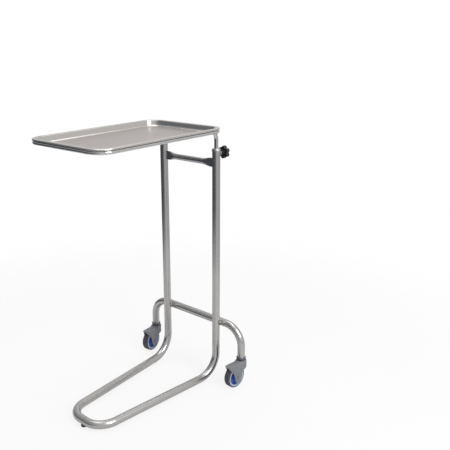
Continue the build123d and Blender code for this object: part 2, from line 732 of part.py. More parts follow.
    with BuildPart() as tyre:
        with BuildSketch(half_view):
            with BuildLine():
                tread = Line((0, WHEEL_OD / 2), (TYRE_CROWN_FLAT / 2, WHEEL_OD / 2))
                side_face = half_width - BAND_FACE_INSET
                bulge = (side_face + TYRE_BULGE, TYRE_IN_R + TYRE_BULGE)
                shoulder = (half_width - TYRE_SIDE_INSET, WHEEL_OD / 2 - TYRE_SHOULDER)
                ThreePointArc(tread @ 1, shoulder, bulge)
                Polyline(bulge, (side_face, TYRE_IN_R), (0, TYRE_IN_R), (0, WHEEL_OD / 2))
            make_face()
            mirror(about=Plane.YZ)
        revolve(axis=wheel_axis)
    finish(f"{side}_tyre", tyre)
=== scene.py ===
from math import cos, degrees, pi, radians, sin, sqrt, tan

import bmesh
import bpy
from mathutils import Matrix, Vector


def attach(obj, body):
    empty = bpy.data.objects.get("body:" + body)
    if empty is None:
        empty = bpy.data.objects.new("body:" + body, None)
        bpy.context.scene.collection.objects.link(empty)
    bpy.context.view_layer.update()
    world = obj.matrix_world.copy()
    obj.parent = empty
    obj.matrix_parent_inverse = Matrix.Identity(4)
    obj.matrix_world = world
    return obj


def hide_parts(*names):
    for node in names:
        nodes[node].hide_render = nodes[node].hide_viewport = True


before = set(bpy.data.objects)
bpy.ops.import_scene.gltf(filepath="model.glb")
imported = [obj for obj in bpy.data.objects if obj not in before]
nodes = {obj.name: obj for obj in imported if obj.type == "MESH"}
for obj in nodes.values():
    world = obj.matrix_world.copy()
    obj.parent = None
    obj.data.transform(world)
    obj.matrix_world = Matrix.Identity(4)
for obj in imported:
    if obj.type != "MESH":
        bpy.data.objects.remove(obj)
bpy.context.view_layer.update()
MM = 0.001

# Studio. The stand is on a plain white sweep, lit by soft boxes, and seen from a little
# above the tray, from its right front corner.

POST_Y = 223.65 * MM
CAMERA_AT = Vector((1.3345, -1.4211 + POST_Y, 1.1035))
CAMERA_YAW = 0.694
CAMERA_PITCH = 0.289
CAMERA_ROLL = 0.006
FOCAL_PIXELS = 607.75
FRAME_PIXELS = 450
SENSOR_MM = 36
CLIP_FAR = 60

ahead = Vector(
    (
        -sin(CAMERA_YAW) * cos(CAMERA_PITCH),
        cos(CAMERA_YAW) * cos(CAMERA_PITCH),
        -sin(CAMERA_PITCH),
    )
)
level_right = Vector((cos(CAMERA_YAW), sin(CAMERA_YAW), 0))
level_up = level_right.cross(ahead)
view_right = level_right * cos(CAMERA_ROLL) + level_up * sin(CAMERA_ROLL)
view_up = level_up * cos(CAMERA_ROLL) - level_right * sin(CAMERA_ROLL)
camera = bpy.data.objects.new("camera", bpy.data.cameras.new("camera"))
camera.data.sensor_width = SENSOR_MM
camera.data.lens = SENSOR_MM * FOCAL_PIXELS / FRAME_PIXELS
camera.data.clip_end = CLIP_FAR
turned = Matrix((view_right, view_up, -ahead)).transposed().to_4x4()
camera.matrix_world = Matrix.Translation(CAMERA_AT) @ turned
bpy.context.scene.collection.objects.link(camera)
bpy.context.scene.camera = camera
bpy.context.scene.view_settings.view_transform = "Standard"


class Wire:
    """A socket that sums work on, so that the maths between nodes reads as expressions."""

    def __init__(self, tree, socket=None):
        self.tree = tree
        self.socket = socket

    def add(self, kind, settings=None, sockets=None, out=0):
        """Add a node with its settings and its sockets' values or links."""
        node = self.tree.nodes.new(kind)
        for name, value in (settings or {}).items():
            setattr(node, name, value)
        for name, value in (sockets or {}).items():
            if isinstance(value, Wire):
                self.tree.links.new(value.socket, node.inputs[name])
            else:
                node.inputs[name].default_value = value
        return Wire(self.tree, node.outputs[out] if node.outputs else None)

    def maths(self, operation, first, second=0.0):
        return self.add("ShaderNodeMath", {"operation": operation}, {0: first, 1: second})

    def __add__(self, other):
        return self.maths("ADD", self, other)

    __radd__ = __add__

    def __mul__(self, other):
        return self.maths("MULTIPLY", self, other)

    __rmul__ = __mul__

    def __sub__(self, other):
        return self.maths("SUBTRACT", self, other)

    def __rsub__(self, other):
        return self.maths("SUBTRACT", other, self)

    def __pow__(self, other):
        return self.maths("POWER", self, other)

    def step(self, low, high):
        """From 0 at low to 1 at high, eased at both ends."""
        settings = {"interpolation_type": "SMOOTHSTEP"}
        sockets = {"Value": self, "From Min": low, "From Max": high}
        return self.add("ShaderNodeMapRange", settings, sockets)

    def split(self):
        """The three numbers of a vector."""
        node = self.add("ShaderNodeSeparateXYZ", None, {0: self}).socket.node
        return [Wire(self.tree, output) for output in node.outputs]

    def join(self, x, y, z):
        return self.add("ShaderNodeCombineXYZ", None, {0: x, 1: y, 2: z})

    def colour(self, share, first, second):
        """A mix of two colours."""
        share_at, first_at, second_at, colour_out = 0, 6, 7, 2
        parts = {share_at: share, first_at: first, second_at: second}
        sockets = {at: (*part, 1) if isinstance(part, tuple) else part for at, part in parts.items()}
        return self.add("ShaderNodeMix", {"data_type": "RGBA"}, sockets, colour_out)

    def noise(self, vector, scale=1.0, detail=2):
        """Noise from 0 to 1, about 0.5."""
        sockets = {"Vector": vector, "Scale": scale, "Detail": detail}
        return self.add("ShaderNodeTexNoise", None, sockets)

    def place(self):
        """Where a point is on the object, in metres."""
        return self.add("ShaderNodeTexCoord", None, None, "Object")

    def brushed(self, scales, detail):
        """Noise drawn out along the object's own axes, as a brush or a lathe leaves it."""
        x, y, z = self.place().split()
        return self.noise(self.join(x * scales[0], y * scales[1], z * scales[2]), 1.0, detail)


def finish_of(name, recipe, metallic=0.0):
    """A material whose recipe gives its colour, roughness, bump height and bump depth."""
    material = bpy.data.materials.new(name)
    material.use_nodes = True
    tree = material.node_tree
    shader = tree.nodes["Principled BSDF"]
    wire = Wire(tree)
    base, rough, height, depth = recipe(wire)
    for socket, value in (("Base Color", base), ("Roughness", rough)):
        if isinstance(value, Wire):
            tree.links.new(value.socket, shader.inputs[socket])
        else:
            shader.inputs[socket].default_value = value
    bump = wire.add("ShaderNodeBump", None, {"Height": height, "Distance": depth})
    tree.links.new(bump.socket, shader.inputs["Normal"])
    shader.inputs["Metallic"].default_value = metallic
    return material


# The sweep is a painted floor that looks white to the camera, keeps the stand's shadow, fades
# out into the white beyond it and is open from below.

SWEEP_PAINT = (0.86, 0.86, 0.86, 1)
SWEEP_ROUGH = 0.8
SWEEP_SHOWN = 0.84
SWEEP_MIRRORED = 0.15
SWEEP_NEAR = 0.75
SWEEP_FAR = 1.9
SWEEP_HALF = 2.0
SWEEP_DROP = 0.5 * MM

sweep_paint = bpy.data.materials.new("white sweep")
sweep_paint.use_nodes = True
sweep_tree = sweep_paint.node_tree
sweep_wire = Wire(sweep_tree)
sweep_shader = sweep_tree.nodes["Principled BSDF"]
sweep_shader.inputs["Base Color"].default_value = SWEEP_PAINT
sweep_shader.inputs["Roughness"].default_value = SWEEP_ROUGH
rays = sweep_wire.add("ShaderNodeLightPath").socket.node
seen = Wire(sweep_tree, rays.outputs["Is Camera Ray"])
mirrored = Wire(sweep_tree, rays.outputs["Is Glossy Ray"])
passed = Wire(sweep_tree, rays.outputs["Is Transmission Ray"])
floor_x, floor_y, _ = sweep_wire.place().split()
fades = ((floor_x * floor_x + floor_y * floor_y) ** 0.5).step(SWEEP_NEAR, SWEEP_FAR)
shown = (seen + passed) * SWEEP_SHOWN + mirrored * SWEEP_MIRRORED
glow = sweep_wire.add("ShaderNodeEmission", None, {"Color": (1, 1, 1, 1), "Strength": 1.0})
painted = Wire(sweep_tree, sweep_shader.outputs[0])
blend = sweep_wire.add("ShaderNodeMixShader", None, {0: shown, 1: painted, 2: glow})
below = sweep_wire.add("ShaderNodeNewGeometry", None, None, "Backfacing")
nothing = sweep_wire.add("ShaderNodeBsdfTransparent")
gone = sweep_wire.maths("MAXIMUM", below, fades)
faded = sweep_wire.add("ShaderNodeMixShader", None, {0: gone, 1: blend, 2: nothing})
sweep_tree.links.new(faded.socket, sweep_tree.nodes["Material Output"].inputs["Surface"])

sweep_mesh = bpy.data.meshes.new("sweep")
sweep_corners = [
    (x * SWEEP_HALF, y * SWEEP_HALF, -SWEEP_DROP) for x, y in ((-1, -1), (1, -1), (1, 1), (-1, 1))
]
sweep_mesh.from_pydata(sweep_corners, [], [(0, 1, 2, 3)])
sweep_mesh.materials.append(sweep_paint)
sweep = bpy.data.objects.new("sweep", sweep_mesh)
bpy.context.scene.collection.objects.link(sweep)

# Around the sweep the steel mirrors a studio that is white overhead and to the right, dim
# high on the left, and unlit low on the left and behind the camera.

LOW_SIDE = (-0.85, -0.53)
LOW_EDGE = (-0.35, 0.35)
HIGH_SIDE = (-0.77, -0.64)
HIGH_EDGE = (0.0, 0.9)
HORIZON_EDGE = (-0.10, 0.06)
FACING_SIDE = (-0.62, -0.78)
FACING_EDGE = (0.55, 0.9)
FACING_RISE = (0.12, 0.45)
ROOM_HIGH = (0.80, 0.79, 0.78)
ROOM_HIGH_LEFT = (0.42, 0.43, 0.45)
ROOM_LOW = (0.60, 0.60, 0.61)
ROOM_LOW_LEFT = (0.045, 0.055, 0.07)
ROOM_FACING = (0.085, 0.095, 0.11)
ROOM_AMBIENT = (0.42, 0.42, 0.425)

world = bpy.data.worlds.new("studio")
bpy.context.scene.world = world
world.use_nodes = True
sky = Wire(world.node_tree)
rays = sky.add("ShaderNodeLightPath").socket.node
seen = Wire(world.node_tree, rays.outputs["Is Camera Ray"])
mirrored = Wire(world.node_tree, rays.outputs["Is Glossy Ray"])
passed = Wire(world.node_tree, rays.outputs["Is Transmission Ray"])
east, north, height = sky.add("ShaderNodeTexCoord").split()


def towards(side, edge):
    """How far a direction looks to one side of the studio, from 0 to 1."""
    return (east * side[0] + north * side[1]).step(*edge)


low = sky.colour(towards(LOW_SIDE, LOW_EDGE), ROOM_LOW, ROOM_LOW_LEFT)
high = sky.colour(towards(HIGH_SIDE, HIGH_EDGE), ROOM_HIGH, ROOM_HIGH_LEFT)
room = sky.colour(height.step(*HORIZON_EDGE), low, high)
facing = towards(FACING_SIDE, FACING_EDGE) * (1 - height.step(*FACING_RISE))
room = sky.colour(facing, room, ROOM_FACING)
lighting = sky.colour(mirrored, ROOM_AMBIENT, room)
shown = sky.colour(seen + passed, lighting, (1, 1, 1))
backdrop = world.node_tree.nodes["Background"]
world.node_tree.links.new(shown.socket, backdrop.inputs["Color"])
backdrop.inputs["Strength"].default_value = 1.0

# Two soft boxes light the stand: the key from the right, and one overhead.

MIDDLE = Vector((0, 0, 0.45))
KEY_AT = Vector((2.4, -0.2, 2.1))
KEY_SIZE = (1.4, 1.8)
KEY_WATTS = 46
TOP_AT = Vector((-0.2, 0.2, 3.0))
TOP_SIZE = (2.2, 2.2)
TOP_WATTS = 30


def soft_box(name, place, size, power):
    """A soft light that faces the middle of the stand."""
    light = bpy.data.lights.new(name, "AREA")
    light.shape = "RECTANGLE"
    light.size, light.size_y = size
    light.energy = power
    lamp = bpy.data.objects.new(name, light)
    lamp.location = place
    lamp.rotation_euler = (MIDDLE - place).to_track_quat("-Z", "Y").to_euler()
    bpy.context.scene.collection.objects.link(lamp)


soft_box("key", KEY_AT, KEY_SIZE, KEY_WATTS)
soft_box("top", TOP_AT, TOP_SIZE, TOP_WATTS)

# Main frame. One stainless tube makes both posts, both runs along the floor and the bow
# in front; it is drawn, bent cold and ground to a satin by belts that run round it.

TUBE_R = 12.7 * MM
TUBE_WALL = 1.5 * MM
POST_X = 115 * MM
POST_TOP = 788 * MM
RUN_HEIGHT = 19.6 * MM
BOW_Y = POST_Y - 474 * MM
BOW_X = 70.5 * MM
HEEL_BEND = 76 * MM
BOW_BEND = 62 * MM
TUBE_SIDES = 40
BEND_STEP = radians(3)
LEAST_STEPS = 4
SHARP_EDGE = radians(50)
SAME_POINT = 0.001 * MM
FRAME_TINT = (0.50, 0.49, 0.48)
FRAME_ROUGH = 0.24
FRAME_GRAIN = 0.012 * MM
BELT_ALONG = 700
BELT_ROUND = 1.2
DRAWN_ALONG = 2.5
DRAWN_ROUND = 14
HANDLED_SCALE = 9
HANDLED_EDGE = (0.35, 0.7)
HANDLED_SHADE = 0.90
HANDLED_SHARE = 0.6
DRAWN_SHARE = 0.4
BELT_RELIEF = 0.4
DRAWN_RELIEF = 0.6
ROUGH_SPREAD = 0.04


def bent_line(corners, bends, closed=False):
    """Points and directions along a line whose corners are rounded to the given radii."""
    corners = [Vector(corner) for corner in corners]
    count = len(corners)
    line = []
    for index, corner in enumerate(corners):
        if not closed and index in (0, count - 1):
            other = corners[1] if index == 0 else corners[-2]
            way = (other - corner) if index == 0 else (corner - other)
            line.append((corner, way.normalized()))
            continue
        radius = bends[index] if closed else bends[index - 1]
        before = (corner - corners[index - 1]).normalized()
        after = (corners[(index + 1) % count] - corner).normalized()
        angle = before.angle(after)
        reach = radius * tan(angle / 2)
        steps = max(LEAST_STEPS, round(angle / BEND_STEP))
        start = corner - before * reach
        inward = (after - before * before.dot(after)).normalized()
        for step in range(steps + 1):
            part = angle * step / steps
            point = start + before * (radius * sin(part)) + inward * (radius * (1 - cos(part)))
            line.append((point, before * cos(part) + inward * sin(part)))
    return line


def bent_tube(name, corners, bends, radius, wall=0.0, closed=False, sides=TUBE_SIDES):
    """A round tube or rod along a bent line, with its length and turn in a UV map."""
    line = bent_line(corners, bends, closed)
    if closed:
        line.append(line[0])
    way = line[0][1]
    side = way.orthogonal().normalized()
    skins = [(radius, 1), (radius - wall, -1)] if wall else [(radius, 1)]
    frames, travelled = [], 0.0
    for index, (point, heading) in enumerate(line):
        if index:
            travelled += (point - line[index - 1][0]).length
            side = (side - heading * side.dot(heading)).normalized()
        frames.append((point, side.copy(), heading.cross(side), travelled))
    points, faces, charts = [], [], []
    rings = len(frames)
    for skin, outward in skins:
        first = len(points)
        for point, side_way, up_way, _ in frames:
            for turn in range(sides):
                angle = 2 * pi * turn / sides
                points.append(point + (side_way * cos(angle) + up_way * sin(angle)) * skin)
        for ring in range(rings - 1):
            for turn in range(sides):
                after = (turn + 1) % sides
                loop = [
                    (first + ring * sides + turn, ring, turn),
                    (first + ring * sides + after, ring, turn + 1),
                    (first + (ring + 1) * sides + after, ring + 1, turn + 1),
                    (first + (ring + 1) * sides + turn, ring + 1, turn),
                ]
                loop = loop if outward > 0 else loop[::-1]
                faces.append([corner[0] for corner in loop])
                charts.append([(frames[corner[1]][3], corner[2] / sides) for corner in loop])
    if wall:
        inner = rings * sides
        for ring, flip in ((0, False), (rings - 1, True)):
            for turn in range(sides):
                after = (turn + 1) % sides
                at = ring * sides
                loop = [at + turn, inner + at + turn, inner + at + after, at + after]
                loop = loop[::-1] if flip else loop
                faces.append(loop)
                charts.append([(frames[ring][3], turn / sides)] * 4)
    elif not closed:
        last = (rings - 1) * sides
        faces.append(list(range(sides))[::-1])
        charts.append([(0, 0)] * sides)
        faces.append([last + turn for turn in range(sides)])
        charts.append([(0, 0)] * sides)
    mesh = bpy.data.meshes.new(name)
    mesh.from_pydata(points, [], faces)
    chart = mesh.uv_layers.new(name="along")
    chart.data.foreach_set("uv", [number for face in charts for pair in face for number in pair])
    mesh.validate()
    piece = bpy.data.objects.new(name, mesh)
    bpy.context.scene.collection.objects.link(piece)
    if closed:
        joined = bmesh.new()
        joined.from_mesh(mesh)
        bmesh.ops.remove_doubles(joined, verts=joined.verts, dist=SAME_POINT)
        joined.to_mesh(mesh)
        joined.free()
    mesh.shade_smooth()
    mesh.set_sharp_from_angle(angle=SHARP_EDGE)
    return piece


def satin_tube(tint, rough, grain_depth):
    """Steel ground by belts that run round the tube, with faint drawing lines along it."""

    def recipe(wire):
        along, turn, _ = wire.add("ShaderNodeUVMap", {"uv_map": "along"}).split()
        angle = turn * (2 * pi)
        across = wire.maths("COSINE", angle)
        round_it = wire.maths("SINE", angle)
        belt_at = wire.join(along * BELT_ALONG, across * BELT_ROUND, round_it * BELT_ROUND)
        drawn_at = wire.join(along * DRAWN_ALONG, across * DRAWN_ROUND, round_it * DRAWN_ROUND)
        belt = wire.noise(belt_at)
        drawn = wire.noise(drawn_at)
        handled = wire.noise(wire.place(), HANDLED_SCALE, 3).step(*HANDLED_EDGE)
        dull = tuple(part * HANDLED_SHADE for part in tint)
        base = wire.colour(handled * HANDLED_SHARE + drawn * DRAWN_SHARE, tint, dull)
        rough_now = rough - ROUGH_SPREAD + (belt + drawn + handled) * ROUGH_SPREAD
        return base, rough_now, belt * BELT_RELIEF + drawn * DRAWN_RELIEF, grain_depth

    return recipe


frame_satin = finish_of("satin tube", satin_tube(FRAME_TINT, FRAME_ROUGH, FRAME_GRAIN), 1.0)
frame_tube = bent_tube(
    "frame_tube",
    [
        (-POST_X, POST_Y, POST_TOP),
        (-POST_X, POST_Y, RUN_HEIGHT),
        (-BOW_X, BOW_Y, RUN_HEIGHT),
        (BOW_X, BOW_Y, RUN_HEIGHT),
        (POST_X, POST_Y, RUN_HEIGHT),
        (POST_X, POST_Y, POST_TOP),
    ],
    [HEEL_BEND, BOW_BEND, BOW_BEND, HEEL_BEND],
    TUBE_R,
    TUBE_WALL,
)
frame_tube.data.materials.append(frame_satin)
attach(frame_tube, "frame")
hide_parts("main_frame")

# Rear arch. The same tube, bent into a wide hoop that crosses behind the posts and
# drops to a caster at each end.

ARCH_Y = POST_Y + 25.6 * MM
ARCH_X = 204.7 * MM
ARCH_HEIGHT = 198.6 * MM
ARCH_FOOT = 91.5 * MM
ARCH_BEND = 66 * MM

arch_tube = bent_tube(
    "arch_tube",
    [
        (-ARCH_X, ARCH_Y, ARCH_FOOT),
        (-ARCH_X, ARCH_Y, ARCH_HEIGHT),
        (ARCH_X, ARCH_Y, ARCH_HEIGHT),
        (ARCH_X, ARCH_Y, ARCH_FOOT),
    ],
    [ARCH_BEND, ARCH_BEND],
    TUBE_R,
    TUBE_WALL,
)
arch_tube.data.materials.append(frame_satin)
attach(arch_tube, "frame")
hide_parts("rear_arch")

# Welds. Each joint has a small bead laid by hand, with the ripples that the torch
# leaves, then wiped so that only a straw tint is left beside it.

BEAD_R = 1.5 * MM
BEAD_SIDES = 10
RIPPLE_PITCH = 1.9 * MM
RIPPLE_DEPTH = 0.12
RIPPLE_SAMPLE = 0.17
ARCH_BEAD_R = 2.0 * MM
ARCH_SEAM_KNOTS = 48
FILLER_R = 9 * MM
BEAD_BRIGHT = (0.42, 0.41, 0.40)
BEAD_STRAW = (0.34, 0.29, 0.24)
BEAD_ROUGH = 0.30
BEAD_ROUGH_SPREAD = 0.15
BEAD_GRAIN = 0.05 * MM
BEAD_GRAIN_SCALE = 900
STRAW_SCALE = 160
STRAW_EDGE = (0.35, 0.7)


def bead_steel(wire):
    """Wiped weld metal with patches of straw tint."""
    tint = wire.noise(wire.place(), STRAW_SCALE)
    skin = wire.noise(wire.place(), BEAD_GRAIN_SCALE)
    base = wire.colour(tint.step(*STRAW_EDGE), BEAD_BRIGHT, BEAD_STRAW)
    return base, BEAD_ROUGH + tint * BEAD_ROUGH_SPREAD, skin, BEAD_GRAIN


weld_steel = finish_of("weld bead", bead_steel, 1.0)

bead_tree = bpy.data.node_groups.new("laid bead", "GeometryNodeTree")
face = bead_tree.interface
face.new_socket("Path", in_out="INPUT", socket_type="NodeSocketGeometry")
for label, size in (("Radius", BEAD_R), ("Pitch", RIPPLE_PITCH), ("Depth", RIPPLE_DEPTH)):
    face.new_socket(label, in_out="INPUT", socket_type="NodeSocketFloat").default_value = size
face.new_socket("Bead", in_out="OUTPUT", socket_type="NodeSocketGeometry")
bead = Wire(bead_tree)
given = bead.add("NodeGroupInput").socket.node
path, bead_radius, pitch, depth = [Wire(bead_tree, output) for output in given.outputs[:4]]
spacing = {"Curve": path, "Length": pitch * RIPPLE_SAMPLE}
fine = bead.add("GeometryNodeResampleCurve", {"mode": "LENGTH"}, spacing)
travel = bead.add("GeometryNodeSplineParameter", None, None, 1)
ripple = bead.maths("SINE", bead.maths("DIVIDE", travel * (2 * pi), pitch))
swelling = {"Curve": fine, "Radius": ripple * depth + 1.0}
swell = bead.add("GeometryNodeSetCurveRadius", None, swelling)
round_one = {"Resolution": BEAD_SIDES, "Radius": bead_radius}
outline = bead.add("GeometryNodeCurvePrimitiveCircle", None, round_one)
sweeping = {"Curve": swell, "Profile Curve": outline, "Fill Caps": True}
run = bead.add("GeometryNodeCurveToMesh", None, sweeping)
whole = bead.add("GeometryNodeRealizeInstances", None, {"Geometry": run})
smooth = bead.add("GeometryNodeSetShadeSmooth", None, {"Geometry": whole})
coated = bead.add("GeometryNodeSetMaterial", None, {"Geometry": smooth, "Material": weld_steel})
taken = bead_tree.nodes.new("NodeGroupOutput")
bead_tree.links.new(coated.socket, taken.inputs[0])


def lay_beads(name, paths, body, radius=BEAD_R):
    """Weld beads along several paths, given as points and whether the path closes."""
    line = bpy.data.curves.new(name + "_path", "CURVE")
    line.dimensions = "3D"
    for points, closed in paths:
        spline = line.splines.new("POLY")
        spline.points.add(len(points) - 1)
        for knot, point in zip(spline.points, points):
            knot.co = (*point, 1)
        spline.use_cyclic_u = closed
    guide = bpy.data.objects.new(name + "_guide", line)
    bpy.context.scene.collection.objects.link(guide)
    laid = guide.modifiers.new("bead", "NODES")
    laid.node_group = bead_tree
    names = {item.name: item.identifier for item in bead_tree.interface.items_tree}
    laid[names["Radius"]] = radius
    ready = guide.evaluated_get(bpy.context.evaluated_depsgraph_get())
    mesh = bpy.data.meshes.new_from_object(ready)
    mesh.name = name
    bpy.data.objects.remove(guide)
    piece = bpy.data.objects.new(name, mesh)
    bpy.context.scene.collection.objects.link(piece)
    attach(piece, body)
    return piece


def circle_path(count, at):
    """Points of a seam that closes on itself, at even turns."""
    return [at(2 * pi * step / count) for step in range(count)]


frame_seams = []
for post_x in (-POST_X, POST_X):

    def arch_seam(angle, post_x=post_x):
        x = FILLER_R * cos(angle)
        z = FILLER_R * sin(angle)
        on_post = POST_Y + sqrt(TUBE_R**2 - x * x)
        on_arch = ARCH_Y - sqrt(TUBE_R**2 - z * z)
        return (post_x + x, (on_post + on_arch) / 2, ARCH_HEIGHT + z)

    frame_seams.append((circle_path(ARCH_SEAM_KNOTS, arch_seam), True))
lay_beads("arch_beads", frame_seams, "frame", ARCH_BEAD_R)

# Cross brace. A thinner tube with its ends pressed flat in a vice, coped to the posts and
# welded on both faces.

BRACE_HEIGHT = 748 * MM
BRACE_TALL = 29.2 * MM
BRACE_HALF_THICK = 1.4 * MM
BRACE_SEAM = (-0.47, -0.25, 0, 0.25, 0.47)
BRACE_BEAD_R = 1.2 * MM
BRACE_TINT = (0.46, 0.46, 0.465)
BRACE_WORN = tuple(part * 0.84 for part in BRACE_TINT)
BRACE_ROUGH = 0.19
BRACE_ROUGH_SPREAD = 0.1
BRACE_BRUSH = (1200, 90, 90)
BRACE_WEAR_SCALE = 30
BRACE_GRAIN = 0.03 * MM


def brace_steel(wire):
    """Satin steel ground along the brace, a little duller where it is worn."""
    grain = wire.brushed(BRACE_BRUSH, 3)
    worn = wire.noise(wire.place(), BRACE_WEAR_SCALE, 3)
    base = wire.colour(worn, BRACE_TINT, BRACE_WORN)
    return base, BRACE_ROUGH + grain * BRACE_ROUGH_SPREAD, grain, BRACE_GRAIN


brace_satin = finish_of("brace steel", brace_steel, 1.0)


def dress(names, material):
    """Give CAD nodes their finish."""
    for name in names:
        for slot in nodes[name].material_slots:
            slot.material = material


dress(["cross_brace"], brace_satin)
dress(["arch_welds"], weld_steel)
seam_x = POST_X - sqrt(TUBE_R**2 - BRACE_HALF_THICK**2)
brace_seams = []
for sign in (-1, 1):
    for face_sign in (-1, 1):
        seam_y = POST_Y + face_sign * BRACE_HALF_THICK
        seam = [(sign * seam_x, seam_y, BRACE_HEIGHT + BRACE_TALL * share) for share in BRACE_SEAM]
        brace_seams.append((seam, False))
lay_beads("brace_beads", brace_seams, "frame", BRACE_BEAD_R)

# Guide bushings. Domed caps, turned from bar, that press into the tops of the posts and
# steady the rods.

CAP_BRIGHT = (0.52, 0.52, 0.53)
CAP_DULL = (0.46, 0.46, 0.47)
CAP_ROUGH = 0.34
CAP_ROUGH_SPREAD = 0.08
CAP_RINGS = (20, 20, 2500)
CAP_GRAIN = 0.01 * MM


def turned_bright(wire):
    """Bright metal with the fine rings that a lathe leaves."""
    rings = wire.brushed(CAP_RINGS, 2)
    base = wire.colour(rings, CAP_BRIGHT, CAP_DULL)
    return base, CAP_ROUGH + rings * CAP_ROUGH_SPREAD, rings, CAP_GRAIN


bushing_bright = finish_of("turned cap", turned_bright, 1.0)
dress(["left_guide_bushing", "right_guide_bushing"], bushing_bright)

# Clamp. A threaded boss on the back of the right post, and a black moulded knob on a
# plated stud that presses on the rod.

BOSS_R = 7 * MM
CLAMP_Z = 778.5 * MM
BOSS_SEAM_KNOTS = 40
BOSS_BEAD_R = 1.1 * MM
ZINC_LIGHT = (0.50, 0.51, 0.53)
ZINC_DARK = (0.40, 0.41, 0.43)
ZINC_SCALE = 260
ZINC_ROUGH = 0.28
ZINC_ROUGH_SPREAD = 0.14
ZINC_GRAIN = 0.03 * MM
KNOB_LOW = (0.006, 0.006, 0.008)
KNOB_HIGH = (0.014, 0.014, 0.018)
KNOB_FLOW_SCALE = 45
KNOB_FLOW_EDGE = (0.3, 0.75)
KNOB_FLOW_ROUGH = 0.12
KNOB_SPECK_SCALE = 1400
KNOB_SPECK_ROUGH = 0.06
KNOB_ROUGH = 0.30
KNOB_GRAIN = 0.04 * MM


def boss_seam(angle):
    """A point on the seam where the boss meets the round post."""
    x = BOSS_R * cos(angle)
    return (POST_X + x, POST_Y + sqrt(TUBE_R**2 - x * x), CLAMP_Z + BOSS_R * sin(angle))


dress(["clamp_boss"], brace_satin)
boss_seams = [(circle_path(BOSS_SEAM_KNOTS, boss_seam), True)]
lay_beads("boss_bead", boss_seams, "frame", BOSS_BEAD_R)


def zinc(wire):
    """Bright zinc with its faint spangle."""
    spangle = wire.noise(wire.place(), ZINC_SCALE)
    base = wire.colour(spangle, ZINC_LIGHT, ZINC_DARK)
    return base, ZINC_ROUGH + spangle * ZINC_ROUGH_SPREAD, spangle, ZINC_GRAIN


def knob_black(wire):
    """Moulded black with faint flow marks and a fine speckle."""
    flow = wire.noise(wire.place(), KNOB_FLOW_SCALE, 3)
    speck = wire.noise(wire.place(), KNOB_SPECK_SCALE)
    base = wire.colour(flow.step(*KNOB_FLOW_EDGE), KNOB_LOW, KNOB_HIGH)
    rough = KNOB_ROUGH + flow * KNOB_FLOW_ROUGH + speck * KNOB_SPECK_ROUGH
    return base, rough, speck, KNOB_GRAIN


zinc_plate = finish_of("zinc plate", zinc, 1.0)
moulded_black = finish_of("moulded knob", knob_black, 0.0)
dress(["clamp_stud"], zinc_plate)
dress(["clamp_knob"], moulded_black)

# Carrier rods. Solid bright rod that slides in the posts, bent a little forward at the
# top and welded under the back of the ring.

ROD_R = 6.35 * MM
ROD_FOOT = 308 * MM
ROD_BEND_HEIGHT = 826 * MM
ROD_BEND = 30 * MM
ROD_COPE = 1.5 * MM
ROD_BITE = 1.6 * MM
ROD_SIDES = 32
ROD_TINT = (0.60, 0.595, 0.59)
ROD_ROUGH = 0.12
ROD_GRAIN = 0.004 * MM
SEAM_START = -72
SEAM_TURN = 12
SEAM_KNOTS = 13
RING_BEAD_R = 1.1 * MM
TRAY_WIDTH = 320.7 * MM
TRAY_LENGTH = 485.8 * MM
TRAY_CORNER = 50 * MM
TRAY_REAR_Y = POST_Y - 5 * MM
RIM_HEIGHT = 864.3 * MM
DROOP = radians(1.3)
HEM = 5.6 * MM
RING_R = 4.75 * MM
RING_INSET = 0.5 * MM
RING_DROP = HEM + 0.3 * MM + RING_R
LEVEL = Vector((0, cos(DROOP), sin(DROOP)))
LIFT = Vector((0, -sin(DROOP), cos(DROOP)))
RIM_MIDDLE = Vector((0, TRAY_REAR_Y, RIM_HEIGHT)) - LEVEL * (TRAY_LENGTH / 2)


def on_tray(x, along, lift):
    """A point in the tray's own plane, which droops a little to the front."""
    return RIM_MIDDLE + Vector((x, 0, 0)) + LEVEL * along + LIFT * lift


rod_bright = finish_of("bright rod", satin_tube(ROD_TINT, ROD_ROUGH, ROD_GRAIN), 1.0)
ring_half = TRAY_LENGTH / 2 - RING_R - RING_INSET
ring_seams = []
for side, sign in (("left", -1), ("right", 1)):
    joint = on_tray(sign * POST_X, ring_half, -RING_DROP)
    bend = Vector((sign * POST_X, POST_Y, ROD_BEND_HEIGHT))
    down = (bend - joint).normalized()
    rod = bent_tube(
        f"{side}_rod",
        [(sign * POST_X, POST_Y, ROD_FOOT), bend, joint + down * (ROD_COPE + ROD_BITE)],
        [ROD_BEND],
        ROD_R,
        sides=ROD_SIDES,
    )
    rod.data.materials.append(rod_bright)
    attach(rod, "tray_carrier")
    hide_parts(f"{side}_carrier_rod")
    over = Vector((1, 0, 0)).cross(down)
    for way in (-1, 1):
        seam = []
        for step in range(SEAM_KNOTS):
            angle = radians(SEAM_START + SEAM_TURN * step)
            lateral = RING_R * sin(angle)
            reach = Vector((way * sqrt(ROD_R**2 - lateral**2), 0, 0))
            seam.append(joint + reach + over * lateral + down * (RING_R * cos(angle)))
        ring_seams.append((seam, False))
lay_beads("ring_beads", ring_seams, "tray_carrier", RING_BEAD_R)

# Tray ring. A closed loop of thinner bright rod, just under the tray's rolled edge.

RING_SIDES = 28
RING_CORNERS = ((-1, -1), (1, -1), (1, 1), (-1, 1))
ring_wide = TRAY_WIDTH / 2 - RING_R - RING_INSET
ring_corner = TRAY_CORNER - RING_R - RING_INSET
tray_ring = bent_tube(
    "ring_rod",
    [on_tray(x * ring_wide, y * ring_half, -RING_DROP) for x, y in RING_CORNERS],
    [ring_corner] * len(RING_CORNERS),
    RING_R,
    closed=True,
    sides=RING_SIDES,
)
tray_ring.data.materials.append(rod_bright)
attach(tray_ring, "tray_carrier")
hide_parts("tray_ring")

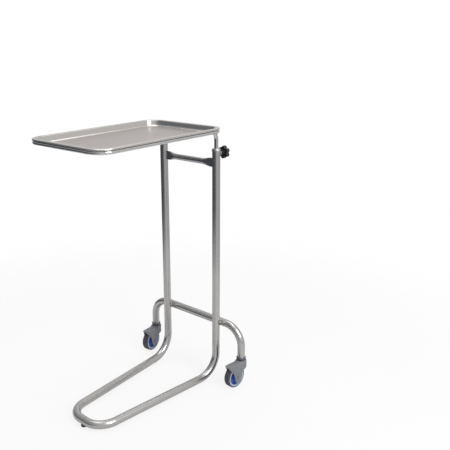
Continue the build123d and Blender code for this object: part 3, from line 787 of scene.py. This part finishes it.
# Tray. One stainless sheet, pressed to a shallow pan and rolled over at the edge; the
# floor keeps the sheet's satin, and the walls and rim are polished.

SHEET = 0.9 * MM
FLANGE = 12.5 * MM
DEPTH = 19.05 * MM
WALL_SLOPE = radians(14)
FLOOR_BEND = 7.5 * MM
LIP_BEND = 2.2 * MM
HEM_R = HEM / 2
HEM_START = 335
TOP_TURN = 90
FOOT_TURN = 270
HEM_STEPS = 22
LIP_STEPS = 6
FOOT_STEPS = 9
POLISH_FADE = 7
FLOOR_RINGS = [inset * MM for inset in (26, 30, 36, 43, 48)]
CORNER_STEPS = 16
SIDE_STEPS = 8
PAN_SATIN = (0.475, 0.44, 0.43)
PAN_CLOUD = (0.43, 0.40, 0.395)
PAN_POLISHED = (0.56, 0.545, 0.53)
PAN_ROUGH = 0.40
PAN_POLISH_GAIN = 0.27
PAN_ROUGH_SPREAD = 0.08
PAN_BRUSH = (1500, 25, 25)
PAN_CLOUD_SCALE = 7
PAN_GRAIN = 0.03 * MM
SCRATCH_BRUSH = (60, 420, 60)
SCRATCH_EDGE = (0.66, 0.74)
SCRATCH_ROUGH = 0.05
SCRATCH_RELIEF = 0.4


def arc(centre, radius, start, end, steps):
    """Points on an arc in the section, as inset and height."""
    angles = [radians(start + (end - start) * step / steps) for step in range(steps + 1)]
    return [(centre[0] + radius * cos(a), centre[1] + radius * sin(a)) for a in angles]


lip_turn = TOP_TURN - degrees(WALL_SLOPE)
lip_start = FLANGE + SHEET - LIP_BEND * tan(radians(lip_turn / 2))
floor_level = SHEET - DEPTH
section = arc((HEM_R, -HEM_R), HEM_R, HEM_START, TOP_TURN, HEM_STEPS)
section += arc((lip_start, -LIP_BEND), LIP_BEND, TOP_TURN, TOP_TURN - lip_turn, LIP_STEPS)
wall_foot = FLANGE + SHEET - floor_level * tan(WALL_SLOPE)
bend_centre = wall_foot + FLOOR_BEND * tan(radians(lip_turn / 2))
foot_centre = (bend_centre, floor_level + FLOOR_BEND)
section += arc(foot_centre, FLOOR_BEND, FOOT_TURN - lip_turn, FOOT_TURN, FOOT_STEPS)
polish = [1.0] * len(section)
for step in range(FOOT_STEPS + 1):
    polish[-1 - step] = min(1.0, step / POLISH_FADE)
for inset in FLOOR_RINGS:
    if inset > section[-1][0]:
        section.append((inset, floor_level))
        polish.append(0.0)


def tray_station(inset):
    """Points round the tray at one distance in from its edge."""
    wide = TRAY_WIDTH / 2 - TRAY_CORNER
    long = TRAY_LENGTH / 2 - TRAY_CORNER
    radius = TRAY_CORNER - inset
    ring = []
    ways = ((1, 1), (-1, 1), (-1, -1), (1, -1))
    for number, (x, y) in enumerate(ways):
        for step in range(CORNER_STEPS + 1):
            angle = pi / 2 * (number + step / CORNER_STEPS)
            ring.append((x * wide + radius * cos(angle), y * long + radius * sin(angle)))
        next_x, next_y = ways[(number + 1) % len(ways)]
        angle = pi / 2 * (number + 1)
        start_x, start_y = ring[-1]
        end_x = next_x * wide + radius * cos(angle)
        end_y = next_y * long + radius * sin(angle)
        for step in range(1, SIDE_STEPS):
            share = step / SIDE_STEPS
            ring.append((start_x + (end_x - start_x) * share, start_y + (end_y - start_y) * share))
    return ring


rings = [[on_tray(x, y, lift) for x, y in tray_station(inset)] for inset, lift in section]
around = len(rings[0])
tray_points = [point for ring in rings for point in ring]
tray_faces = []
for ring in range(len(rings) - 1):
    for step in range(around):
        after = (step + 1) % around
        a, b = ring * around, (ring + 1) * around
        tray_faces.append((a + step, a + after, b + after, b + step))
last = (len(rings) - 1) * around
tray_faces.append([last + step for step in range(around)])
pan_mesh = bpy.data.meshes.new("tray_pan")
pan_mesh.from_pydata(tray_points, [], tray_faces)
polished = pan_mesh.attributes.new("polish", "FLOAT", "POINT")
polished.data.foreach_set("value", [share for share in polish for _ in range(around)])
pan_mesh.shade_smooth()
pan = bpy.data.objects.new("tray_pan", pan_mesh)
bpy.context.scene.collection.objects.link(pan)
thick = pan.modifiers.new("sheet", "SOLIDIFY")
thick.thickness = SHEET
thick.offset = -1
ready = pan.evaluated_get(bpy.context.evaluated_depsgraph_get())
solid_pan = bpy.data.meshes.new_from_object(ready)
pan.modifiers.clear()
pan.data = solid_pan


def pan_steel(wire):
    """Satin sheet with faint scratches on the floor, polished on the walls and rim."""
    bright = wire.add("ShaderNodeAttribute", {"attribute_name": "polish"}, None, 2)
    grain = wire.brushed(PAN_BRUSH, 3)
    cloud = wire.noise(wire.place(), PAN_CLOUD_SCALE, 3)
    scratch = wire.brushed(SCRATCH_BRUSH, 4).step(*SCRATCH_EDGE)
    satin = wire.colour(cloud, PAN_SATIN, PAN_CLOUD)
    base = wire.colour(bright, satin, PAN_POLISHED)
    rough = PAN_ROUGH - bright * PAN_POLISH_GAIN
    rough = rough + grain * PAN_ROUGH_SPREAD + scratch * SCRATCH_ROUGH
    return base, rough, grain * (1 - bright) + scratch * SCRATCH_RELIEF, PAN_GRAIN


pan.data.materials.clear()
pan.data.materials.append(finish_of("pressed tray", pan_steel, 1.0))
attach(pan, "tray")
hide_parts("tray")

# Caster forks. A fork is one grey moulding that swivels on a plated stem: a beaked hood,
# hollow inside, whose two walls run down as tongues to the axle. Its sizes here are in
# millimetres, forward, across and up from the swivel.

SWIVEL = {"left": -8, "right": 4}
AXLE_AHEAD = 33
AXLE_UP = 38
AXLE_R = 4.1
JOURNAL_R = 5.1
FORK_HALF = 17.4
FORK_WALL = 3.4
HOOD_TOP = 86.6
HOOD_BACK = 20
BOSS_R_MM = 10
BOSS_FOOT = 72.6
TONGUE_R = 13.2
TONGUE_AT = (29.5, 28.5)
HOOD_ROOF = [(14, 86.6), (40, 87.2), (60, 88.0), (77, 89.6)]
HOOD_THROAT = [(76, 87.6), (67, 80.0), (59, 70.5), (51, 57), (46, 43), (43, 28.5)]
HOOD_HEEL = [(16, 28.5), (14.5, 38), (10, 48), (2, 55.5), (-9, 59), (-19.5, 65), (-20, 77), (-16, 86.6)]
HOOD_FLANK = [(34, 17.4), (50, 15.2), (63, 9.4), (77, 0.8)]
CROWN_DROP = 9.5
CROWN_AROUND = (13, 25)
CROWN_RISE = (58, 76)
BACK_TURNS = range(-84, 85, 12)
BEAK_HALF = 0.6
BEAK_PULL = 0.8
TONGUE_START = -12
TONGUE_SWEEP = -156
TONGUE_STEPS = 14
TOOL_PAST = 5
WELL_PAST = 6
MOULD_VOXEL = 0.6
MOULD_ROUNDS = 2
MOULD_SOFT = 0.5
MOULD_THIN = 0.3
CURVE_STEPS = 6
FORK_LOW = (0.185, 0.192, 0.205)
FORK_HIGH = (0.225, 0.232, 0.245)
FORK_FLOW_SCALE = 28
FORK_LEATHER_SCALE = 900
FORK_ROUGH = 0.42
FORK_ROUGH_SPREAD = 0.16
FORK_GRAIN = 0.12 * MM
PLATE_LIGHT = (0.20, 0.22, 0.24)
PLATE_DARK = (0.13, 0.145, 0.16)
PLATE_STAIN_SCALE = 90
PLATE_ROUGH = 0.38
PLATE_ROUGH_SPREAD = 0.12
PLATE_GRAIN = 0.03 * MM


def curve_through(knots, steps=CURVE_STEPS):
    """Points on a smooth curve through the knots."""
    padded = [knots[0], *knots, knots[-1]]
    line = []
    for a, b, c, d in zip(padded, padded[1:], padded[2:], padded[3:]):
        for step in range(steps):
            s = step / steps
            point = []
            for p, q, r, w in zip(a, b, c, d):
                bow = (2 * p - 5 * q + 4 * r - w) * s**2
                twist = (3 * q - p - 3 * r + w) * s**3
                point.append((2 * q + (r - p) * s + bow + twist) / 2)
            line.append(tuple(point))
    return [*line, knots[-1]]


def prism(outline, low, high, upright):
    """A block from an outline, upright in the fork's side view or flat in its plan."""
    block = bmesh.new()
    ends = []
    for level in (low, high):
        at = [(a, level, b) if upright else (a, b, level) for a, b in outline]
        ends.append([block.verts.new(point) for point in at])
    block.faces.new(ends[0])
    block.faces.new(ends[1][::-1])
    for index in range(len(outline)):
        after = (index + 1) % len(outline)
        block.faces.new((ends[0][index], ends[1][index], ends[1][after], ends[0][after]))
    bmesh.ops.recalc_face_normals(block, faces=block.faces)
    mesh = bpy.data.meshes.new("block")
    block.to_mesh(mesh)
    block.free()
    piece = bpy.data.objects.new("block", mesh)
    bpy.context.scene.collection.objects.link(piece)
    return piece


def round_outline(centre, radius, sides=TUBE_SIDES):
    """A circle's outline."""
    turns = [2 * pi * step / sides for step in range(sides)]
    return [(centre[0] + radius * cos(turn), centre[1] + radius * sin(turn)) for turn in turns]


def baked(piece):
    """Turn a piece's modifiers into its mesh."""
    ready = piece.evaluated_get(bpy.context.evaluated_depsgraph_get())
    mesh = bpy.data.meshes.new_from_object(ready)
    piece.modifiers.clear()
    piece.data = mesh


def carve(piece, tool, operation):
    """Apply one boolean to a piece and take its tool away."""
    cut = piece.modifiers.new("cut", "BOOLEAN")
    cut.operation = operation
    cut.solver = "EXACT"
    cut.object = tool
    baked(piece)
    bpy.data.objects.remove(tool)


def plan_of(inset):
    """The fork's plan, with its round back, straight flanks and beak."""
    half = FORK_HALF - inset
    length = HOOD_BACK - inset
    flank = [
        (forward - inset * BEAK_PULL, max(out - inset, BEAK_HALF))
        for forward, out in curve_through(HOOD_FLANK)
    ]
    back = [(-length * cos(radians(turn)), half * sin(radians(turn))) for turn in BACK_TURNS]
    return [*back, (0, half), *flank, *[(a, -b) for a, b in reversed(flank)], (0, -half)]


def tongue_end():
    """The round end of a leg, from its front edge to its back edge."""
    steps = range(TONGUE_STEPS + 1)
    turns = [radians(TONGUE_START + TONGUE_SWEEP * step / TONGUE_STEPS) for step in steps]
    forward, up = TONGUE_AT
    return [(forward + TONGUE_R * cos(turn), up + TONGUE_R * sin(turn)) for turn in turns]


def fork_shell():
    """The fork in its own frame: forward, across and up from the swivel."""
    crest = curve_through(HOOD_ROOF)
    over = HOOD_TOP + TOOL_PAST
    side = crest + curve_through(HOOD_THROAT) + tongue_end() + curve_through(HOOD_HEEL)
    shell = prism(side, -FORK_HALF, FORK_HALF, True)
    carve(shell, prism(plan_of(0), 0, over, False), "INTERSECT")
    roof = [(forward, up - FORK_WALL) for forward, up in crest]
    mouth, ceiling = roof[-1][0] + WELL_PAST, roof[-1][1]
    inside = [(-HOOD_BACK, roof[0][1]), *roof, (mouth, ceiling), (mouth, 0), (-HOOD_BACK, 0)]
    well = prism(inside, -FORK_HALF + FORK_WALL, FORK_HALF - FORK_WALL, True)
    carve(well, prism(plan_of(FORK_WALL), -TOOL_PAST, over, False), "INTERSECT")
    carve(well, prism(round_outline((0, 0), BOSS_R_MM), BOSS_FOOT, over, False), "DIFFERENCE")
    carve(shell, well, "DIFFERENCE")
    carve(shell, prism(round_outline((0, 0), JOURNAL_R), 0, over, False), "DIFFERENCE")
    axle = round_outline((AXLE_AHEAD, AXLE_UP), AXLE_R)
    past = FORK_HALF + TOOL_PAST
    carve(shell, prism(axle, -past, past, True), "DIFFERENCE")
    return shell


def eased(value, low, high):
    """From 0 at low to 1 at high, eased at both ends."""
    share = min(1.0, max(0.0, (value - low) / (high - low)))
    return share * share * (3 - 2 * share)


def moulded(piece):
    """Round off a carved block as a mould does, crown its hood and thin out its flat faces."""
    skin = piece.modifiers.new("skin", "REMESH")
    skin.mode = "VOXEL"
    skin.voxel_size = MOULD_VOXEL
    soften = piece.modifiers.new("soften", "SMOOTH")
    soften.factor = MOULD_SOFT
    soften.iterations = MOULD_ROUNDS
    baked(piece)
    for vertex in piece.data.vertices:
        forward, out, up = vertex.co
        clear = eased(sqrt(forward**2 + out**2), *CROWN_AROUND)
        tall = eased(up, *CROWN_RISE)
        vertex.co.z = up - CROWN_DROP * (out / FORK_HALF) ** 2 * clear * tall
    thin = piece.modifiers.new("thin", "DECIMATE")
    thin.ratio = MOULD_THIN
    baked(piece)
    mesh = piece.data
    bpy.data.objects.remove(piece)
    return mesh


def fork_grey(wire):
    """Grey plastic with the fine leather grain of its mould."""
    leather = wire.noise(wire.place(), FORK_LEATHER_SCALE)
    flow = wire.noise(wire.place(), FORK_FLOW_SCALE, 3)
    rough = FORK_ROUGH + leather * FORK_ROUGH_SPREAD
    return wire.colour(flow, FORK_LOW, FORK_HIGH), rough, leather, FORK_GRAIN


def plated_dark(wire):
    """Dark plating, stained a little by handling."""
    stain = wire.noise(wire.place(), PLATE_STAIN_SCALE, 3)
    rough = PLATE_ROUGH + stain * PLATE_ROUGH_SPREAD
    return wire.colour(stain, PLATE_LIGHT, PLATE_DARK), rough, stain, PLATE_GRAIN


fork_moulding = finish_of("fork moulding", fork_grey)
dark_plate = finish_of("dark plate", plated_dark, 1.0)
fork_mesh = moulded(fork_shell())
for side, sign in (("left", -1), ("right", 1)):
    turn = radians(SWIVEL[side])
    trail = Vector((-sin(turn), -cos(turn), 0))
    across = Vector((0, 0, 1)).cross(trail)
    axes = Matrix((trail, across, (0, 0, 1))).transposed().to_4x4()
    under_arch = Matrix.Translation((sign * ARCH_X, ARCH_Y, 0))
    placed = fork_mesh.copy()
    placed.transform(under_arch @ axes @ Matrix.Scale(MM, 4))
    placed.materials.clear()
    placed.materials.append(fork_moulding)
    placed.shade_smooth()
    fork = bpy.data.objects.new(f"{side}_fork_moulding", placed)
    bpy.context.scene.collection.objects.link(fork)
    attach(fork, f"{side}_caster")
    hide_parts(f"{side}_caster_fork")
    dress([f"{side}_caster_socket", f"{side}_caster_stem", f"{side}_caster_axle"], dark_plate)

# Wheels. A blue moulded hub turns on a white bush, a pale band is pressed over it, and the
# dark tyre is rubber that leaves no marks. The rods' guides are of the bush's plastic.

HUB_LOW = (0.020, 0.085, 0.38)
HUB_HIGH = (0.035, 0.13, 0.50)
HUB_FLOW_SCALE = 60
HUB_SKIN_SCALE = 900
HUB_ROUGH = 0.30
HUB_ROUGH_SPREAD = 0.15
HUB_GRAIN = 0.05 * MM
BAND_HIGH = (0.44, 0.51, 0.60)
BAND_LOW = (0.36, 0.42, 0.51)
BAND_FLOW_SCALE = 50
BAND_SKIN_SCALE = 700
BAND_ROUGH = 0.45
BAND_ROUGH_SPREAD = 0.1
BAND_GRAIN = 0.06 * MM
TYRE_LOW = (0.055, 0.050, 0.070)
TYRE_DUST = (0.095, 0.090, 0.110)
TYRE_DUST_SCALE = 120
TYRE_DUST_EDGE = (0.4, 0.75)
TYRE_PORE_SCALE = 1600
TYRE_ROUGH = 0.55
TYRE_ROUGH_SPREAD = 0.2
TYRE_GRAIN = 0.12 * MM
SLIDE_HIGH = (0.80, 0.79, 0.76)
SLIDE_LOW = (0.72, 0.71, 0.69)
SLIDE_FLOW_SCALE = 60
SLIDE_ROUGH = 0.4
SLIDE_ROUGH_SPREAD = 0.1
SLIDE_GRAIN = 0.05 * MM


def hub_blue(wire):
    """Blue plastic with faint flow marks."""
    flow = wire.noise(wire.place(), HUB_FLOW_SCALE, 3)
    skin = wire.noise(wire.place(), HUB_SKIN_SCALE)
    rough = HUB_ROUGH + flow * HUB_ROUGH_SPREAD
    return wire.colour(flow, HUB_LOW, HUB_HIGH), rough, skin, HUB_GRAIN


def band_pale(wire):
    """Pale blue-grey plastic between the hub and the tyre."""
    flow = wire.noise(wire.place(), BAND_FLOW_SCALE, 3)
    skin = wire.noise(wire.place(), BAND_SKIN_SCALE)
    rough = BAND_ROUGH + flow * BAND_ROUGH_SPREAD
    return wire.colour(flow, BAND_HIGH, BAND_LOW), rough, skin, BAND_GRAIN


def tyre_dark(wire):
    """Dark rubber, dusty in patches."""
    dust = wire.noise(wire.place(), TYRE_DUST_SCALE, 4)
    pores = wire.noise(wire.place(), TYRE_PORE_SCALE)
    base = wire.colour(dust.step(*TYRE_DUST_EDGE), TYRE_LOW, TYRE_DUST)
    rough = TYRE_ROUGH + dust * TYRE_ROUGH_SPREAD
    return base, rough, pores * 0.5 + dust * 0.5, TYRE_GRAIN


def slide_white(wire):
    """White plastic that slides on steel."""
    flow = wire.noise(wire.place(), SLIDE_FLOW_SCALE)
    rough = SLIDE_ROUGH + flow * SLIDE_ROUGH_SPREAD
    return wire.colour(flow, SLIDE_HIGH, SLIDE_LOW), rough, flow, SLIDE_GRAIN


hub_moulding = finish_of("hub moulding", hub_blue)
band_moulding = finish_of("band moulding", band_pale)
tyre_rubber = finish_of("tyre rubber", tyre_dark)
slide_plastic = finish_of("slide plastic", slide_white)
for side in ("left", "right"):
    dress([f"{side}_wheel_hub"], hub_moulding)
    dress([f"{side}_wheel_band"], band_moulding)
    dress([f"{side}_tyre"], tyre_rubber)
    dress([f"{side}_wheel_bush", f"{side}_rod_guide"], slide_plastic)

# Front glide. A moulded rubber foot that carries the front of the base, held by one plated
# screw from below under the middle of the bow.

GLIDE_LOW = (0.030, 0.030, 0.032)
GLIDE_GRIT = (0.060, 0.058, 0.058)
GLIDE_GRIT_SCALE = 500
GLIDE_ROUGH = 0.62
GLIDE_ROUGH_SPREAD = 0.18
GLIDE_GRAIN = 0.1 * MM


def glide_black(wire):
    """Black rubber with floor grit worked into it."""
    grit = wire.noise(wire.place(), GLIDE_GRIT_SCALE, 3)
    rough = GLIDE_ROUGH + grit * GLIDE_ROUGH_SPREAD
    return wire.colour(grit, GLIDE_LOW, GLIDE_GRIT), rough, grit, GLIDE_GRAIN


dress(["front_glide"], finish_of("glide rubber", glide_black))
dress(["glide_screw"], zinc_plate)
